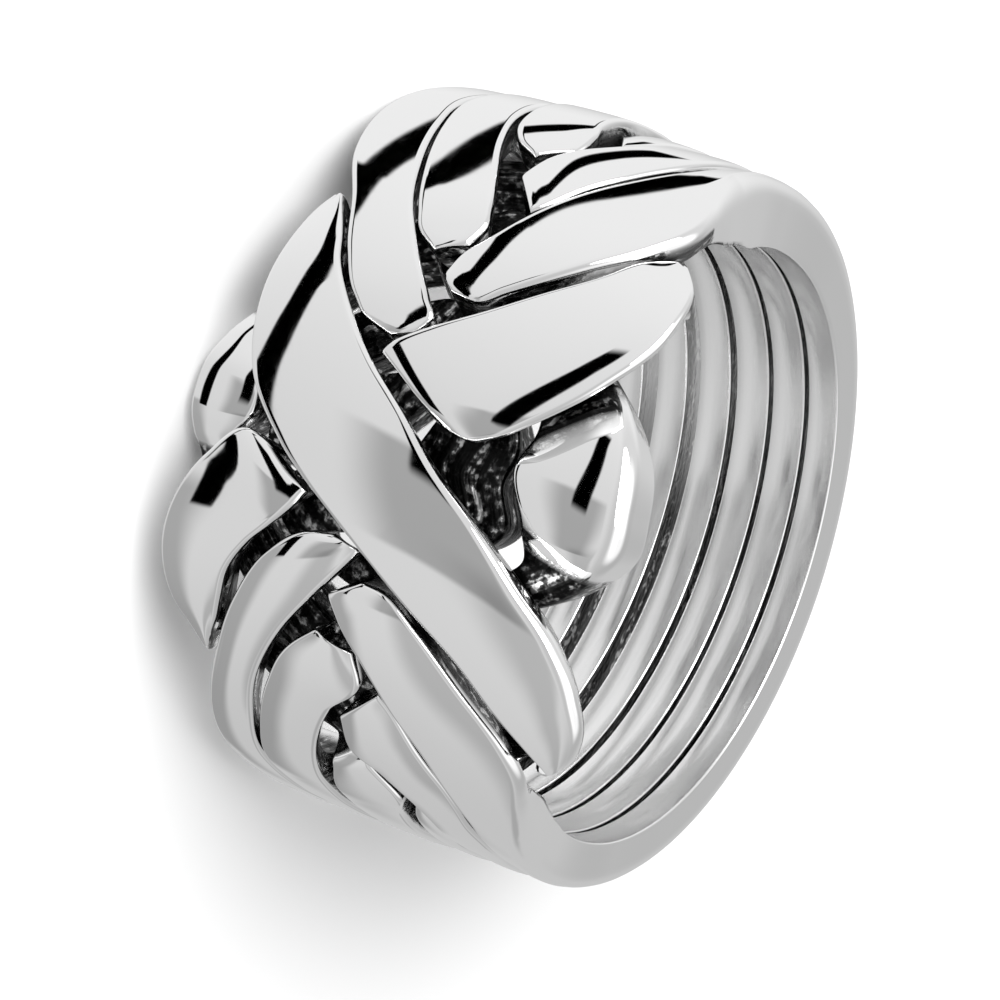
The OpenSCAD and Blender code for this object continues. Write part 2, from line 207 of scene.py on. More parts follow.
# %% Fourth band
band_4_rows = [
    [-88, 0.1, -88, -1.0, low_in, 11.05],
    [-79, -0.1, -79, -1.95, low_in, 11.45],
    [-71, -0.4, -70, -2.5, 10.3, 11.8],
    [-64, -0.25, -61.5, -2.42, high_under, 11.95],
    [-59.6, 0.0, -55, -2.02, high_under, 12.0],
    [-57.2, 0.03, -52.8, -1.6, high_under, 11.95],
    [-55.9, 0.0, -51.9, -1.2, high_under, 11.85],
    [-55.6, 0.05, -51.3, -0.95, low_in, low_top],
    [-55.0, 0.9, -49.7, -0.15, low_in, low_top],
    [-51.5, 2.5, -45.5, 1.4, low_in, low_top],
    [-45.5, 4.5, -39.5, 3.3, low_in, low_top],
    [-42.2, 4.9, -38.2, 4.4, low_in, low_top],
    [-39.0, 5.5, -38.0, 4.75, 10.4, 11.45],
    [-34.5, 6.2, -36.2, 4.35, 10.9, 11.85],
    [-26, 6.4, -31.8, 3.75, 11.0, 12.0],
    [-16.5, 5.45, -26, 2.4, 11.0, 12.05],
    [-9.5, 4.1, -21, 1.1, 11.0, 12.1],
    [-5.2, 2.9, -17.2, -0.1, 10.9, 12.05],
    [-4.2, 2.0, -14.0, -1.0, 10.7, 12.0],
    [-5.6, 1.0, -12.6, -1.25, high_under, 11.95],
    [-9.3, -0.1, -11.9, -1.33, high_under, 11.8],
    [-9.0, -0.2, -11.7, -1.4, low_in, low_top],
    [-7.8, -0.35, -10.8, -1.8, low_in, low_top],
    [-2, -1.0, -5, -2.7, low_in, low_top],
    [5.6, -1.8, 3.0, -2.95, low_in, low_top],
    [8.4, -1.95, 5.9, -2.85, low_in, low_top],
    [9.3, -2.1, 6.3, -2.95, high_under, 11.8],
    [10.8, -2.25, 4.0, -3.8, high_under, 11.9],
    [12.2, -2.45, 3.3, -4.5, high_under, 12.0],
    [14.8, -2.9, 8.2, -5.5, high_under, 12.0],
    [18, -3.5, 15, -6.2, high_under, 12.0],
    [22.5, -4.05, 22.5, -6.4, high_under, 12.0],
    [27.5, -4.3, 29.5, -6.0, high_under, 11.95],
    [31.3, -4.5, 34, -5.35, high_under, 11.8],
    [33.6, -4.68, 37.0, -5.0, high_under, 11.55],
    [34.6, -4.4, 38.0, -4.9, low_in, low_top],
    [38.5, -3.0, 43.0, -4.0, low_in, low_top],
    [44.5, -1.6, 49.0, -2.8, low_in, low_top],
    [49.0, -0.75, 51.8, -1.7, low_in, low_top],
    [52.5, -0.15, 55, -1.6, low_in, 11.0],
    [57.5, 0.62, 60, -1.75, low_in, 11.05],
    [64, 0.28, 66, -1.7, low_in, 10.9],
    [72, 0.15, 73, -1.4, low_in, 10.75],
    [82, 0.12, 82, -1.1, low_in, 10.55]]
print("fourth band:", len(band_4_rows), "rows")

# %% [markdown]
# The fifth band is the mirror of the second: it rises to the top of the head behind the broad
# strands, and only its square top shows between them.

# %% Fifth band
band_5_rows = [
    [-88, -1.4, -88, -2.55, low_in, 11.05],
    [-78, -2.15, -78, -3.35, low_in, 11.4],
    [-69, -2.75, -69, -4.18, 9.5, 11.7],
    [-60, -2.6, -60, -4.37, high_under, 11.85],
    [-51, -1.95, -50.5, -3.95, high_under, 11.95],
    [-43, -1.1, -41, -3.25, high_under, 12],
    [-37, -0.5, -33.5, -2.5, high_under, 12.05],
    [-33.8, -0.3, -30.3, -2.05, high_under, 12.0],
    [-31.8, -0.42, -29.0, -1.6, high_under, 11.9],
    [-31.6, -0.3, -28.8, -1.5, low_in, low_top],
    [-31.4, 0.3, -27.5, -0.9, low_in, low_top],
    [-30.3, 1.6, -22.8, 0.6, low_in, low_top],
    [-26.0, 3.6, -17.8, 2.2, low_in, low_top],
    [-18.5, 5.4, -13.6, 3.2, low_in, 10.6],
    [-10.5, 6.45, -8.8, 3.5, low_in, 10.75],
    [-2.5, 6.85, -2.8, 3.25, low_in, 10.8],
    [6.3, 6.8, 4.6, 3.95, low_in, 10.75],
    [13.2, 5.7, 10.0, 4.1, low_in, 10.4],
    [19.0, 4.0, 14.6, 2.9, low_in, low_top],
    [24.5, 2.2, 19.6, 1.1, low_in, low_top],
    [28.0, 0.5, 23.4, -0.3, low_in, low_top],
    [29.6, 0.0, 24.3, -1.35, low_in, low_top],
    [30.0, 0.08, 27.6, -1.4, low_in, low_top],
    [30.2, 0.1, 27.9, -1.35, high_under, 11.8],
    [33, 0.3, 30.3, -1.9, high_under, 11.85],
    [40.5, -0.85, 39, -2.93, high_under, 11.65],
    [49, -1.65, 49, -3.6, high_under, 11.4],
    [58, -2.1, 58, -4.0, 10.3, 11.15],
    [68, -2.15, 68, -3.75, low_in, 10.85],
    [79, -1.75, 79, -3.12, low_in, 10.6],
    [90, -1.42, 90, -2.52, low_in, 10.45]]
print("fifth band:", len(band_5_rows), "rows")

# %% [markdown]
# The sixth band is the mirror of the first: a low peak in the middle, seen as the floor of the
# weave.

# %% Sixth band
band_6_rows = [
    [-88, -2.93, -88, -4.0, low_in, 11.0],
    [-78, -3.5, -78, -4.7, low_in, 11.3],
    [-69, -4.32, -69, -5.5, low_in, 11.55],
    [-60, -4.52, -60, -6.0, 10.2, 11.75],
    [-51.5, -4.12, -51, -6.05, high_under, 11.9],
    [-42.5, -3.5, -40, -5.5, high_under, 12.0],
    [-34.5, -2.75, -32, -4.5, high_under, 12.05],
    [-27, -1.65, -24, -3.65, high_under, 12.05],
    [-20.8, -0.6, -18, -2.75, high_under, 12.05],
    [-18.2, -0.25, -15.7, -2.1, high_under, 12.0],
    [-16.9, -0.42, -15.0, -1.6, high_under, 11.9],
    [-16.6, -0.4, -14.8, -1.55, low_in, low_top],
    [-16.6, 0.3, -13.5, -1.15, low_in, low_top],
    [-12.8, 2.3, -9.2, 0.4, low_in, low_top],
    [-6, 3.0, -5, 0.2, low_in, low_top],
    [0, 2.9, 0, -0.1, low_in, low_top],
    [6.5, 3.35, 4.8, -0.2, low_in, low_top],
    [11.2, 2.6, 8.6, -0.5, low_in, low_top],
    [14.5, -0.08, 12.9, -1.15, low_in, low_top],
    [15.0, -0.15, 13.4, -1.2, high_under, 11.9],
    [16.6, -0.35, 13.9, -1.75, high_under, 12.0],
    [22, -1.2, 18.5, -2.95, high_under, 12.0],
    [29, -2.25, 26.5, -3.88, high_under, 11.9],
    [38, -3.2, 36.5, -4.6, high_under, 11.7],
    [48, -3.77, 48, -5.25, high_under, 11.4],
    [58, -4.15, 58, -5.5, 10.0, 11.1],
    [68, -3.92, 68, -5.2, low_in, 10.85],
    [79, -3.3, 79, -4.5, low_in, 10.6],
    [90, -2.93, 90, -4.0, low_in, 10.45]]
print("sixth band:", len(band_6_rows), "rows")

# %% [markdown]
# Behind the finger all six bands keep their height and run level, a little thicker towards the
# left shoulder. That stretch needs no table of its own, because a short rule gives every row.

# %% The plain shank
shank_z = [[3.9, 2.9], [2.75, 1.65], [1.5, 0.37], [0.15, -0.95], [-1.4, -2.45], [-2.98, -3.95]]
shank_angles = range(102, 259, 18)
shoulder_gain, shoulder_turn = 0.45, 80


def shank_rows(upper, lower):
    """Level rows from the right shoulder, behind the finger, to the left shoulder."""
    rows = []
    for angle in shank_angles:
        outside = shank_top + shoulder_gain * max(0, (angle - 180) / shoulder_turn) ** 2
        rows.append([angle, upper, angle, lower, low_in, outside])
    return rows


heads = [band_1_rows, band_2_rows, band_3_rows, band_4_rows, band_5_rows, band_6_rows]
bands = [np.array(head + shank_rows(*z)) for head, z in zip(heads, shank_z)]
print("rows per band:", [len(rows) for rows in bands])

# %% [markdown]
# Straight lines between the rows would give a faceted band. A cubic curve through the rows is
# smooth, and its slope at a row is the mean of the slopes on both sides, each weighed by the
# other's length. The radii take a more careful slope, so that a strand never swells past the
# height that a row gives it and touches the strand below. At the middle of the metal, one degree
# is about a fifth of a millimetre long, and a section stands about every tenth of a millimetre.

# %% Smooth sections between the rows
ARC_MM = 0.2
STEP_MM = 0.11
FEWEST_STEPS = 2


def smooth_band(rows):
    """Closely spaced rows along the cubic curve through the rows of a closed table."""
    turn = np.array([360, 0, 360, 0, 0, 0])
    around = np.vstack([rows[-1] - turn, rows, rows[0] + turn, rows[1] + turn])
    middle = np.column_stack([(around[:, UP_A] + around[:, LO_A]) / 2 * ARC_MM,
                              (around[:, UP_Z] + around[:, LO_Z]) / 2,
                              (around[:, IN] + around[:, OUT]) / 2])
    gap = np.linalg.norm(np.diff(middle, axis=0), axis=1)
    after = np.diff(around, axis=0) / gap[:, None]
    h0, h1 = gap[:-1, None], gap[1:, None]
    slopes = (after[:-1] * h1 + after[1:] * h0) / (h0 + h1)
    held = after[:-1, IN:] * after[1:, IN:]
    total = after[:-1, IN:] + after[1:, IN:]
    slopes[:, IN:] = np.where(held > 0, 2 * held / np.where(total == 0, 1, total), 0)
    made = []
    for i in range(len(rows)):
        count = max(FEWEST_STEPS, round(gap[i + 1] / STEP_MM))
        for t in np.arange(count) / count:
            made.append((2 * t**3 - 3 * t**2 + 1) * around[i + 1]
                        + (t**3 - 2 * t**2 + t) * gap[i + 1] * slopes[i]
                        + (3 * t**2 - 2 * t**3) * around[i + 2]
                        + (t**3 - t**2) * gap[i + 1] * slopes[i + 1])
    return np.array(made)


print("a step of", STEP_MM, "mm along the band")

# %% [markdown]
# A polishing wheel wears off the small waves that a curve through the listed rows still has. Here
# every high top takes the mean height of the metal around it, with the nearest metal counting
# most. Tops between the two heights below change over little by little, because a sudden start
# of the wear would leave a crease across the strand.

# %% The wear of the wheel
WEAR_FROM, WEAR_FULL = 11.0, 11.5
WHEEL_MM = 1.0
WHEEL_STEPS = 30
LEAST_SHARE = 1e-6


def ease(value, start, end):
    """0 before start, 1 after end, and a straight rise between them."""
    return np.clip((value - start) / (end - start), 0.0, 1.0)


def polish_tops(sections):
    """The same sections, with the small waves along the high tops worn away."""
    high = (sections[:, OUT] > WEAR_FROM).astype(float)
    steps = np.arange(-WHEEL_STEPS, WHEEL_STEPS + 1)
    weights = np.exp(-0.5 * (steps * STEP_MM / WHEEL_MM) ** 2)
    height = sum(w * np.roll(sections[:, OUT] * high, n) for w, n in zip(weights, steps))
    share = sum(w * np.roll(high, n) for w, n in zip(weights, steps))
    amount = ease(sections[:, OUT], WEAR_FROM, WEAR_FULL)
    worn = sections.copy()
    worn[:, OUT] += amount * (height / np.maximum(share, LEAST_SHARE) - sections[:, OUT])
    return worn


smooth = [polish_tops(smooth_band(rows)) for rows in bands]
print("sections per band:", [len(s) for s in smooth])

# %% [markdown]
# The outline of a section decides how the silver shines. The top is almost flat, with a faint
# crown, and it ends in a narrow rounded edge, which catches the thin bright line that runs along
# every strand. The sides of a high strand lean in, as a file leaves them, and the underside ends
# in a smaller rounding, for comfort on the finger. The roundings are real sizes in millimetres,
# so they stay as crisp on a broad strand as on a narrow one. Only where a strand is too thin to
# hold them are they made smaller. Each half of the outline is made from its underside up its
# side, round its edge and over the top to the middle.

# %% Outline of one section
EDGE_MM, EDGE_SHARE = 0.15, 1 / 2.2
COMFORT_MM, COMFORT_SHARE = 0.06, 1 / 8
UNDERCUT, UNDERCUT_FROM = 0.15, 9.6
LEAN_CURVE = 1.5
ROLL_FROM = 0.3
UNDER_CORNER = [math.radians(a) for a in (0, 36, 72, 90)]
UP_THE_SIDE = (0.08, 0.3, 0.6, 0.85)
CORNER = [math.radians(a) for a in (0, 18, 36, 54, 72, 90)]
ACROSS = (0.95, 0.88, 0.8, 0.72, 0.64, 0.56, 0.45, 0.3, 0.15)


def outline(width, thick, raised, crown, tilt, roll_off, upper_edge):
    """Points of a section as (place across 0 to 1, height over the underside in mm)."""
    under = min(COMFORT_MM, width * COMFORT_SHARE, thick * COMFORT_SHARE)
    foot = 0.5 - UNDERCUT * raised

    def top(place, side):
        rolled = roll_off * max(0, (place - ROLL_FROM) / (1 - ROLL_FROM)) ** 2 if side < 0 else 0
        return thick - crown * place * place - side * tilt * place - rolled

    def half(side):
        shoulder = top(1, side)
        edge = min(EDGE_MM if side > 0 else upper_edge, width * EDGE_SHARE, thick * EDGE_SHARE)
        points = [(foot - under / width * (1 - math.sin(a)), under * (1 - math.cos(a)))
                  for a in UNDER_CORNER]
        points += [(0.5 - UNDERCUT * raised * (1 - s) ** LEAN_CURVE,
                    under + s * (shoulder - edge - under)) for s in UP_THE_SIDE]
        points += [(0.5 - edge / width * (1 - math.cos(a)), shoulder - edge * (1 - math.sin(a)))
                   for a in CORNER]
        points += [(s * (0.5 - edge / width), top(s, side)) for s in ACROSS]
        return points

    upper = [(0.5 - x, y) for x, y in half(-1)]
    lower = [(0.5 + x, y) for x, y in reversed(half(1))]
    return np.array(upper + [(0.5, thick)] + lower + [(0.5, 0.0)])


UNDER, SIDE = len(UNDER_CORNER), len(UP_THE_SIDE)
HALF = UNDER + SIDE + len(CORNER) + len(ACROSS)
POINTS = 2 * HALF + 2
UNDERSIDE = list(range(UNDER)) + list(range(POINTS - 1 - UNDER, POINTS))
WALLS = (list(range(UNDER, UNDER + SIDE)),
         list(range(POINTS - 1 - UNDER - SIDE, POINTS - 1 - UNDER)))
print("points per section:", POINTS)

# %% [markdown]
# No top is perfectly level. On the real ring the long strand is gently domed and leans to its
# lower side, the short broad lobe rolls off along its upper edge, and the first band turns its
# outer edge into one soft round at the shoulders. Those hundredths of a millimetre decide where
# a black streak runs, so they are worth a table: the angle, and then the crown, the lean, the
# roll-off and the radius of the upper edge in millimetres. In between, they change evenly.

# %% Lean and dome of the tops
tops = {
    1: [(-180, 0.02, 0, 0, 0.35), (-95, 0.02, 0, 0, 0.5), (-72, 0.03, 0, 0, 0.7),
        (-46, 0.035, 0, 0, 0.3), (-20, 0.035, 0, 0, 0.15), (10, 0.06, 0, 0, 0.15),
        (36, 0.08, 0, 0, 0.15), (46, 0.06, 0, 0, 0.3), (62, 0.03, 0, 0, 0.6),
        (95, 0.02, 0, 0, 0.5), (180, 0.02, 0, 0, 0.35)],
    2: [(-120, 0.015, 0, 0, 0.15), (-80, 0.03, 0, 0, 0.15), (-30, 0.03, 0, 0, 0.15),
        (-20, 0.06, 0.01, 0, 0.15), (4, 0.06, 0.01, 0, 0.15), (40, 0.09, 0, 0, 0.15),
        (70, 0.02, 0, 0, 0.15)],
    3: [(-75, 0.015, 0, 0, 0.15), (-50, 0.04, 0.08, 0, 0.15), (-16, 0.04, 0.08, 0, 0.15),
        (8, 0.05, 0, 0, 0.15), (24, 0.07, 0, 0, 0.3), (40, 0.06, 0, 0, 0.3),
        (60, 0.03, 0, 0, 0.15)],
    4: [(-60, 0.015, 0, 0, 0.15), (-50, 0.02, 0, 0.07, 0.15), (-12, 0.02, 0, 0.08, 0.15),
        (-7, 0.02, 0, 0.13, 0.15), (-4, 0.02, 0, 0.13, 0.15), (2, 0.05, 0.16, 0, 0.15),
        (10, 0.05, 0.15, 0, 0.15), (18, 0.06, 0.08, 0, 0.15), (40, 0.09, 0, 0, 0.15),
        (70, 0.02, 0, 0, 0.15)],
    5: [(-34, 0.015, 0, 0, 0.15), (-20, 0.08, 0, 0, 0.5), (14, 0.08, 0, 0, 0.5),
        (30, 0.09, 0, 0, 0.15), (50, 0.09, 0, 0, 0.15), (70, 0.02, 0, 0, 0.15)],
    6: [(-25, 0.015, 0, 0, 0.15), (20, 0.09, 0, 0, 0.15), (45, 0.09, 0, 0, 0.15),
        (70, 0.02, 0, 0, 0.15)],
}


def top_shape(k, angle):
    """Crown, lean, roll-off and upper edge radius of band k at an angle."""
    table = np.array(tops[k], dtype=float)
    return [np.interp(angle, table[:, 0], table[:, c]) for c in (1, 2, 3, 4)]


print("long strand in front:", [round(float(v), 3) for v in top_shape(3, 0)])

# %% [markdown]
# A jeweller blackens the whole ring and then polishes what a wheel can reach: the tops of the
# high strands, the upper part of their sides, and every side that faces outwards. Low strands,
# undersides and the clefts between two strands stay black. So each band says how far down its
# two sides a wheel comes, by the angle round the finger. The side towards the upper rim of the
# ring is given first, and then the side towards the lower rim.

# %% How far down the sides are polished
CLEFT_MM, OPEN_MM = 0.26, 5.0
open_sides = {
    1: [(-180, -50, OPEN_MM, CLEFT_MM), (-50, -30, 0.4, CLEFT_MM), (38, 180, OPEN_MM, CLEFT_MM)],
    2: [(-22, 22, CLEFT_MM, OPEN_MM)],
    3: [(-30, 8, 0.4, 0.3), (8, 40, OPEN_MM, 0.4)],
    4: [(-36.5, -22, OPEN_MM, 0.4), (-22, 0, 0.75, 0.4), (10, 40, 0.4, OPEN_MM)],
    5: [(-24, 22, OPEN_MM, 0.3)],
    6: [(-180, -50, CLEFT_MM, OPEN_MM), (44, 180, CLEFT_MM, OPEN_MM)],
}


def polished_sides(k, angle):
    """Polished height below the top, on the upper and the lower side of band k."""
    for start, end, upper, lower in open_sides[k]:
        if start <= angle <= end:
            return upper, lower
    return CLEFT_MM, CLEFT_MM


print("between two neighbours a wheel reaches", CLEFT_MM, "mm down")

# %% [markdown]
# A section is drawn flat, and has to be set on the drum round the finger hole. Its outline is
# given as shares of the width, so the angle and the height follow from the two edges of the row.
# The inside is cut at the finger hole, and the sides of a rising strand start to lean in gently.

# %% A section set on the drum
def section_points(k, row):
    """Places of one section's points round the upright ring, and their heights."""
    inner, outer = max(row[IN], bore_r), row[OUT]
    raised = ease(inner, UNDERCUT_FROM, high_under)
    raised = raised * raised * (3 - 2 * raised)
    across = math.hypot(math.radians(row[LO_A] - row[UP_A]) * (inner + outer) / 2,
                        row[LO_Z] - row[UP_Z])
    middle = ((row[UP_A] + row[LO_A]) / 2 + 180) % 360 - 180
    shape = outline(across, outer - inner, raised, *top_shape(k, middle))
    share, height = shape[:, 0], shape[:, 1]
    angle = np.radians(row[UP_A] + share * (row[LO_A] - row[UP_A]))
    z = row[UP_Z] + share * (row[LO_Z] - row[UP_Z])
    r = inner + height
    return np.column_stack([r * np.sin(angle), -r * np.cos(angle), z]), share * across, height


first_points = section_points(1, smooth[0][0])[0]
print("middle of the first section's top:", [round(float(v), 2) for v in first_points[HALF]])

# %% [markdown]
# A top is black below the first of two radii and bright above the second. The fifth band is the
# one exception. Its square top rises from the weave on long slopes under the broad strands, so
# its limit is raised a little in the middle of the head, and the slopes stay black. That black is
# partly blackening and partly painted shade, for the shade that the broad strands cast on them.
# Down the sides the black starts where the wheel stops. In the grooves from the left shoulder to
# the back of the shank it is worn thin, most of all on the fifth and the sixth band. The
# underside is black only where it has risen clear of the finger, because the finger keeps the
# inside of a ring bright.

# %% Where the silver is blackened
BLACK_TOP, BRIGHT_TOP = 10.42, 10.48
# The lift on band 5 is partly painted shade: it keeps the slopes under the broad strands black.
PATINA_AND_SHADE_LIFT = {5: 0.14}
MIDDLE_END, MIDDLE_FADED = 30, 40
GROOVE_BLACK, GROOVE_BLACK_WORN = 0.55, {5: 0.3, 6: 0.3}
GROOVES_IN, GROOVES_OUT = (56, 70), (150, 175)
WHEEL_ABOVE, WHEEL_BELOW = 0.02, 0.12
RISEN = bore_r + 0.2, bore_r + 0.6


def blackened(k, row, height):
    """1 where a section's points are black, 0 where they are bright."""
    angle = (row[UP_A] + 180) % 360 - 180
    # On band 5 this darkens the slopes in the middle of the head, partly as blackening and partly
    # as painted shade.
    limit = PATINA_AND_SHADE_LIFT.get(k, 0) * (1 - ease(abs(angle), MIDDLE_END, MIDDLE_FADED))
    black = np.full(POINTS, 1 - ease(row[OUT] - limit, BLACK_TOP, BRIGHT_TOP))
    worn = ease(-angle, *GROOVES_IN) * (1 - ease(-angle, *GROOVES_OUT))
    depth = 1 - worn + worn * GROOVE_BLACK_WORN.get(k, GROOVE_BLACK)
    for wall, reach in zip(WALLS, polished_sides(k, angle)):
        for j in wall:
            down = height[HALF] - height[j]
            black[j] = max(black[j], depth * ease(down, reach - WHEEL_ABOVE, reach + WHEEL_BELOW))
    black[UNDERSIDE] = ease(row[IN], *RISEN)
    return black


print("tops are bright from a radius of", BRIGHT_TOP, "mm")

# %% [markdown]
# Now a band becomes a mesh. Neighbouring sections are joined by quads, and the last section meets
# the first, so the band is one closed skin. Three things go along with every point: whether it is
# blackened, whether it faces the finger, and its place along and across the strand, which lets
# file marks follow the metal round its bends.

# %% From sections to a closed mesh
def band_mesh(k, sections):
    """A closed band from smooth sections, laid down where the solid band lies."""
    places, black, inside, along = [], [], [], []
    travelled = 0.0
    for i, row in enumerate(sections):
        points, across, height = section_points(k, row)
        if places:
            travelled += float(np.linalg.norm(points[HALF] - places[-1][HALF]))
        places.append(points)
        black.append(blackened(k, row, height))
        inside.append((height < COMFORT_MM) * (1 - ease(row[IN], *RISEN)))
        along.append(np.column_stack([np.full(POINTS, travelled), across, height]))
    count = len(places)
    faces = []
    for i in range(count):
        a, b = i * POINTS, (i + 1) % count * POINTS
        for j in range(POINTS):
            n = (j + 1) % POINTS
            faces.append((a + j, b + j, b + n, a + n))
    mesh = bpy.data.meshes.new(f"silver_band_{k}")
    mesh.from_pydata((np.vstack(places) * MM).tolist(), [], faces)
    mesh.transform(lying)
    for label, values in (("black", black), ("inside", inside)):
        attribute = mesh.attributes.new(label, "FLOAT", "POINT")
        attribute.data.foreach_set("value", np.hstack(values).astype(np.float32))
    attribute = mesh.attributes.new("along", "FLOAT_VECTOR", "POINT")
    attribute.data.foreach_set("vector", (np.vstack(along) * MM).astype(np.float32).ravel())
    mesh.shade_smooth()
    band = bpy.data.objects.new(f"silver_band_{k}", mesh)
    bpy.context.scene.collection.objects.link(band)
    return band


pieces = [band_mesh(k, s) for k, s in enumerate(smooth, start=1)]
print("faces per band:", [len(p.data.polygons) for p in pieces])

# %% [markdown]
# Silver is a metal, so nearly all of its look is what it mirrors. The polished tops are a very
# smooth metal with a faint wave left by the wheel. The recesses are the same metal blackened and
# scored along the strand, with bright flecks where a file has cut through the black. The inside
# is only brushed round the finger. One shader mixes all three by the marks on the mesh. First
# come a few small helpers, because shader trees get long when every link is written out. The mix
# node has sockets of the same names for numbers and for colours, so those are picked by number.

# %% Small helpers for shader nodes
def noise(tree, place, scale, detail, stretch=(1, 1, 1)):
    """Noise in a vector's own space, stretched by a scale on each axis."""
    mapping = tree.nodes.new("ShaderNodeMapping")
    mapping.inputs["Scale"].default_value = stretch
    tree.links.new(place, mapping.inputs["Vector"])
    made = tree.nodes.new("ShaderNodeTexNoise")
    made.inputs["Scale"].default_value = scale
    made.inputs["Detail"].default_value = detail
    tree.links.new(mapping.outputs["Vector"], made.inputs["Vector"])
    return made.outputs["Fac"]


def ramp(tree, source, stops):
    """A value turned into greys by stops, each a place and a grey."""
    made = tree.nodes.new("ShaderNodeValToRGB")
    elements = made.color_ramp.elements
    while len(elements) < len(stops):
        elements.new(0.5)
    for element, (place, grey) in zip(elements, stops):
        element.position = place
        element.color = (grey, grey, grey, 1)
    tree.links.new(source, made.inputs["Fac"])
    return made.outputs["Color"]


COLOUR_A, COLOUR_B, COLOUR_RESULT = 6, 7, 2


def blend(tree, amount, first, second):
    """The first colour or grey where the amount is 0, the second where it is 1."""
    made = tree.nodes.new("ShaderNodeMix")
    made.data_type = "RGBA"
    tree.links.new(amount, made.inputs["Factor"])
    for socket, value in ((made.inputs[COLOUR_A], first), (made.inputs[COLOUR_B], second)):
        if isinstance(value, bpy.types.NodeSocket):
            tree.links.new(value, socket)
        else:
            socket.default_value = (value, value, value, 1)
    return made.outputs[COLOUR_RESULT]


def maths(tree, operation, first, second=0.0):
    """One step of arithmetic on sockets or numbers."""
    made = tree.nodes.new("ShaderNodeMath")
    made.operation = operation
    for socket, value in zip(made.inputs, (first, second)):
        if isinstance(value, bpy.types.NodeSocket):
            tree.links.new(value, socket)
        else:
            socket.default_value = value
    return made.outputs[0]


def relief(tree, height, depth_mm, strength=1.0, under=None):
    """A bump of a real depth in millimetres, on top of another bump."""
    made = tree.nodes.new("ShaderNodeBump")
    made.inputs["Distance"].default_value = depth_mm * MM
    tree.links.new(height, made.inputs["Height"])
    if isinstance(strength, bpy.types.NodeSocket):
        tree.links.new(strength, made.inputs["Strength"])
    else:
        made.inputs["Strength"].default_value = strength
    if under is not None:
        tree.links.new(under, made.inputs["Normal"])
    return made.outputs["Normal"]


def mark(tree, label, output="Fac"):
    """A value that the mesh carries on its points."""
    made = tree.nodes.new("ShaderNodeAttribute")
    made.attribute_name = label
    return made.outputs[output]


print("helpers ready")

# %% [markdown]
# In the recesses the black is not even. Long scores run along the strand, finer grit lies over
# them, and where both are high the bare metal shows. Multiplying the two noises gives exactly
# that: flecks in broken lines rather than an even sprinkle. A noise is scaled in waves per metre,
# so a score is about 3 mm long and a tenth as wide, and a grain of grit a quarter of a
# millimetre. A relief is given by its depth in millimetres and its strength.

# %% Silver with blackened recesses
WAVES, SCORES, GRIT = 330.0, 1500.0, 4200.0
SCORE_SHAPE, BRUSH_SHAPE = (0.22, 2.2, 1.6), (0.05, 3.0, 3.0)
FLECKS = [(0.0, 0.004), (0.24, 0.012), (0.3, 0.07), (0.36, 0.62)]
POLISHED_ROUGHNESS = [(0.3, 0.02), (0.7, 0.04)]
SATIN_ROUGHNESS = [(0.3, 0.17), (0.7, 0.27)]
BLACK_ROUGHNESS = 0.33
BARE_SILVER = 0.93
WAVE_RELIEF, BRUSH_RELIEF = (0.03, 0.06), (0.004, 0.5)
SCORE_RELIEF, GRIT_RELIEF = (0.12, 0.8), (0.04, 0.9)


def silver_finish(name):
    """Polished tops, blackened scored recesses and a brushed inside, in one metal."""
    made = bpy.data.materials.new(name)
    made.use_nodes = True
    tree = made.node_tree
    shader = tree.nodes["Principled BSDF"]
    shader.inputs["Metallic"].default_value = 1.0
    body = tree.nodes.new("ShaderNodeTexCoord").outputs["Object"]
    along = mark(tree, "along", "Vector")
    black, inside = mark(tree, "black"), mark(tree, "inside")

    wave = noise(tree, body, WAVES, detail=1.0)
    scores = noise(tree, along, SCORES, detail=4.0, stretch=SCORE_SHAPE)
    grit = noise(tree, body, GRIT, detail=4.0)
    brush = noise(tree, along, SCORES, detail=3.0, stretch=BRUSH_SHAPE)
    flecks = ramp(tree, maths(tree, "MULTIPLY", scores, grit), FLECKS)
    tree.links.new(blend(tree, black, BARE_SILVER, flecks), shader.inputs["Base Color"])

    polished = ramp(tree, grit, POLISHED_ROUGHNESS)
    satin = ramp(tree, brush, SATIN_ROUGHNESS)
    rough = blend(tree, black, blend(tree, inside, polished, satin), BLACK_ROUGHNESS)
    tree.links.new(rough, shader.inputs["Roughness"])

    normal = relief(tree, wave, *WAVE_RELIEF)
    for pattern, where, (depth_mm, strength) in ((brush, inside, BRUSH_RELIEF),
                                                 (scores, black, SCORE_RELIEF),
                                                 (grit, black, GRIT_RELIEF)):
        amount = maths(tree, "MULTIPLY", where, strength)
        normal = relief(tree, pattern, depth_mm, amount, normal)
    tree.links.new(normal, shader.inputs["Normal"])
    return made


silver = silver_finish("polished_silver")
for number, band in enumerate(pieces, start=1):
    band.data.materials.append(silver)
    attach(band, "root")
    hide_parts(f"band_{number}")
print("finish:", silver.name, "on", len(pieces), "bands")

# %% [markdown]
# The ring rests on a plain pale table. The table is not part of the ring, so it is left out of
# the ring's body. It reaches far past the view, and the picture has no horizon. The mirror of the
# silver looks past it into the tent, which stands all round the ring, below it too.

# %% A pale table
HALF_TABLE = 0.6
PALE_GREY = 0.93
MATT_PAINT = 0.7
corners = [(x * HALF_TABLE, y * HALF_TABLE, 0) for x, y in ((-1, -1), (1, -1), (1, 1), (-1, 1))]
floor_mesh = bpy.data.meshes.new("table_top")
floor_mesh.from_pydata(corners, [], [(0, 1, 2, 3)])
table_top = bpy.data.objects.new("table_top", floor_mesh)
bpy.context.scene.collection.objects.link(table_top)
pale = bpy.data.materials.new("pale_table")
pale.use_nodes = True
paint = pale.node_tree.nodes["Principled BSDF"]
paint.inputs["Base Color"].default_value = (PALE_GREY, PALE_GREY, PALE_GREY, 1)
paint.inputs["Roughness"].default_value = MATT_PAINT
floor_mesh.materials.append(pale)
table_top.visible_glossy = False
print("table:", [round(v, 2) for v in table_top.dimensions])

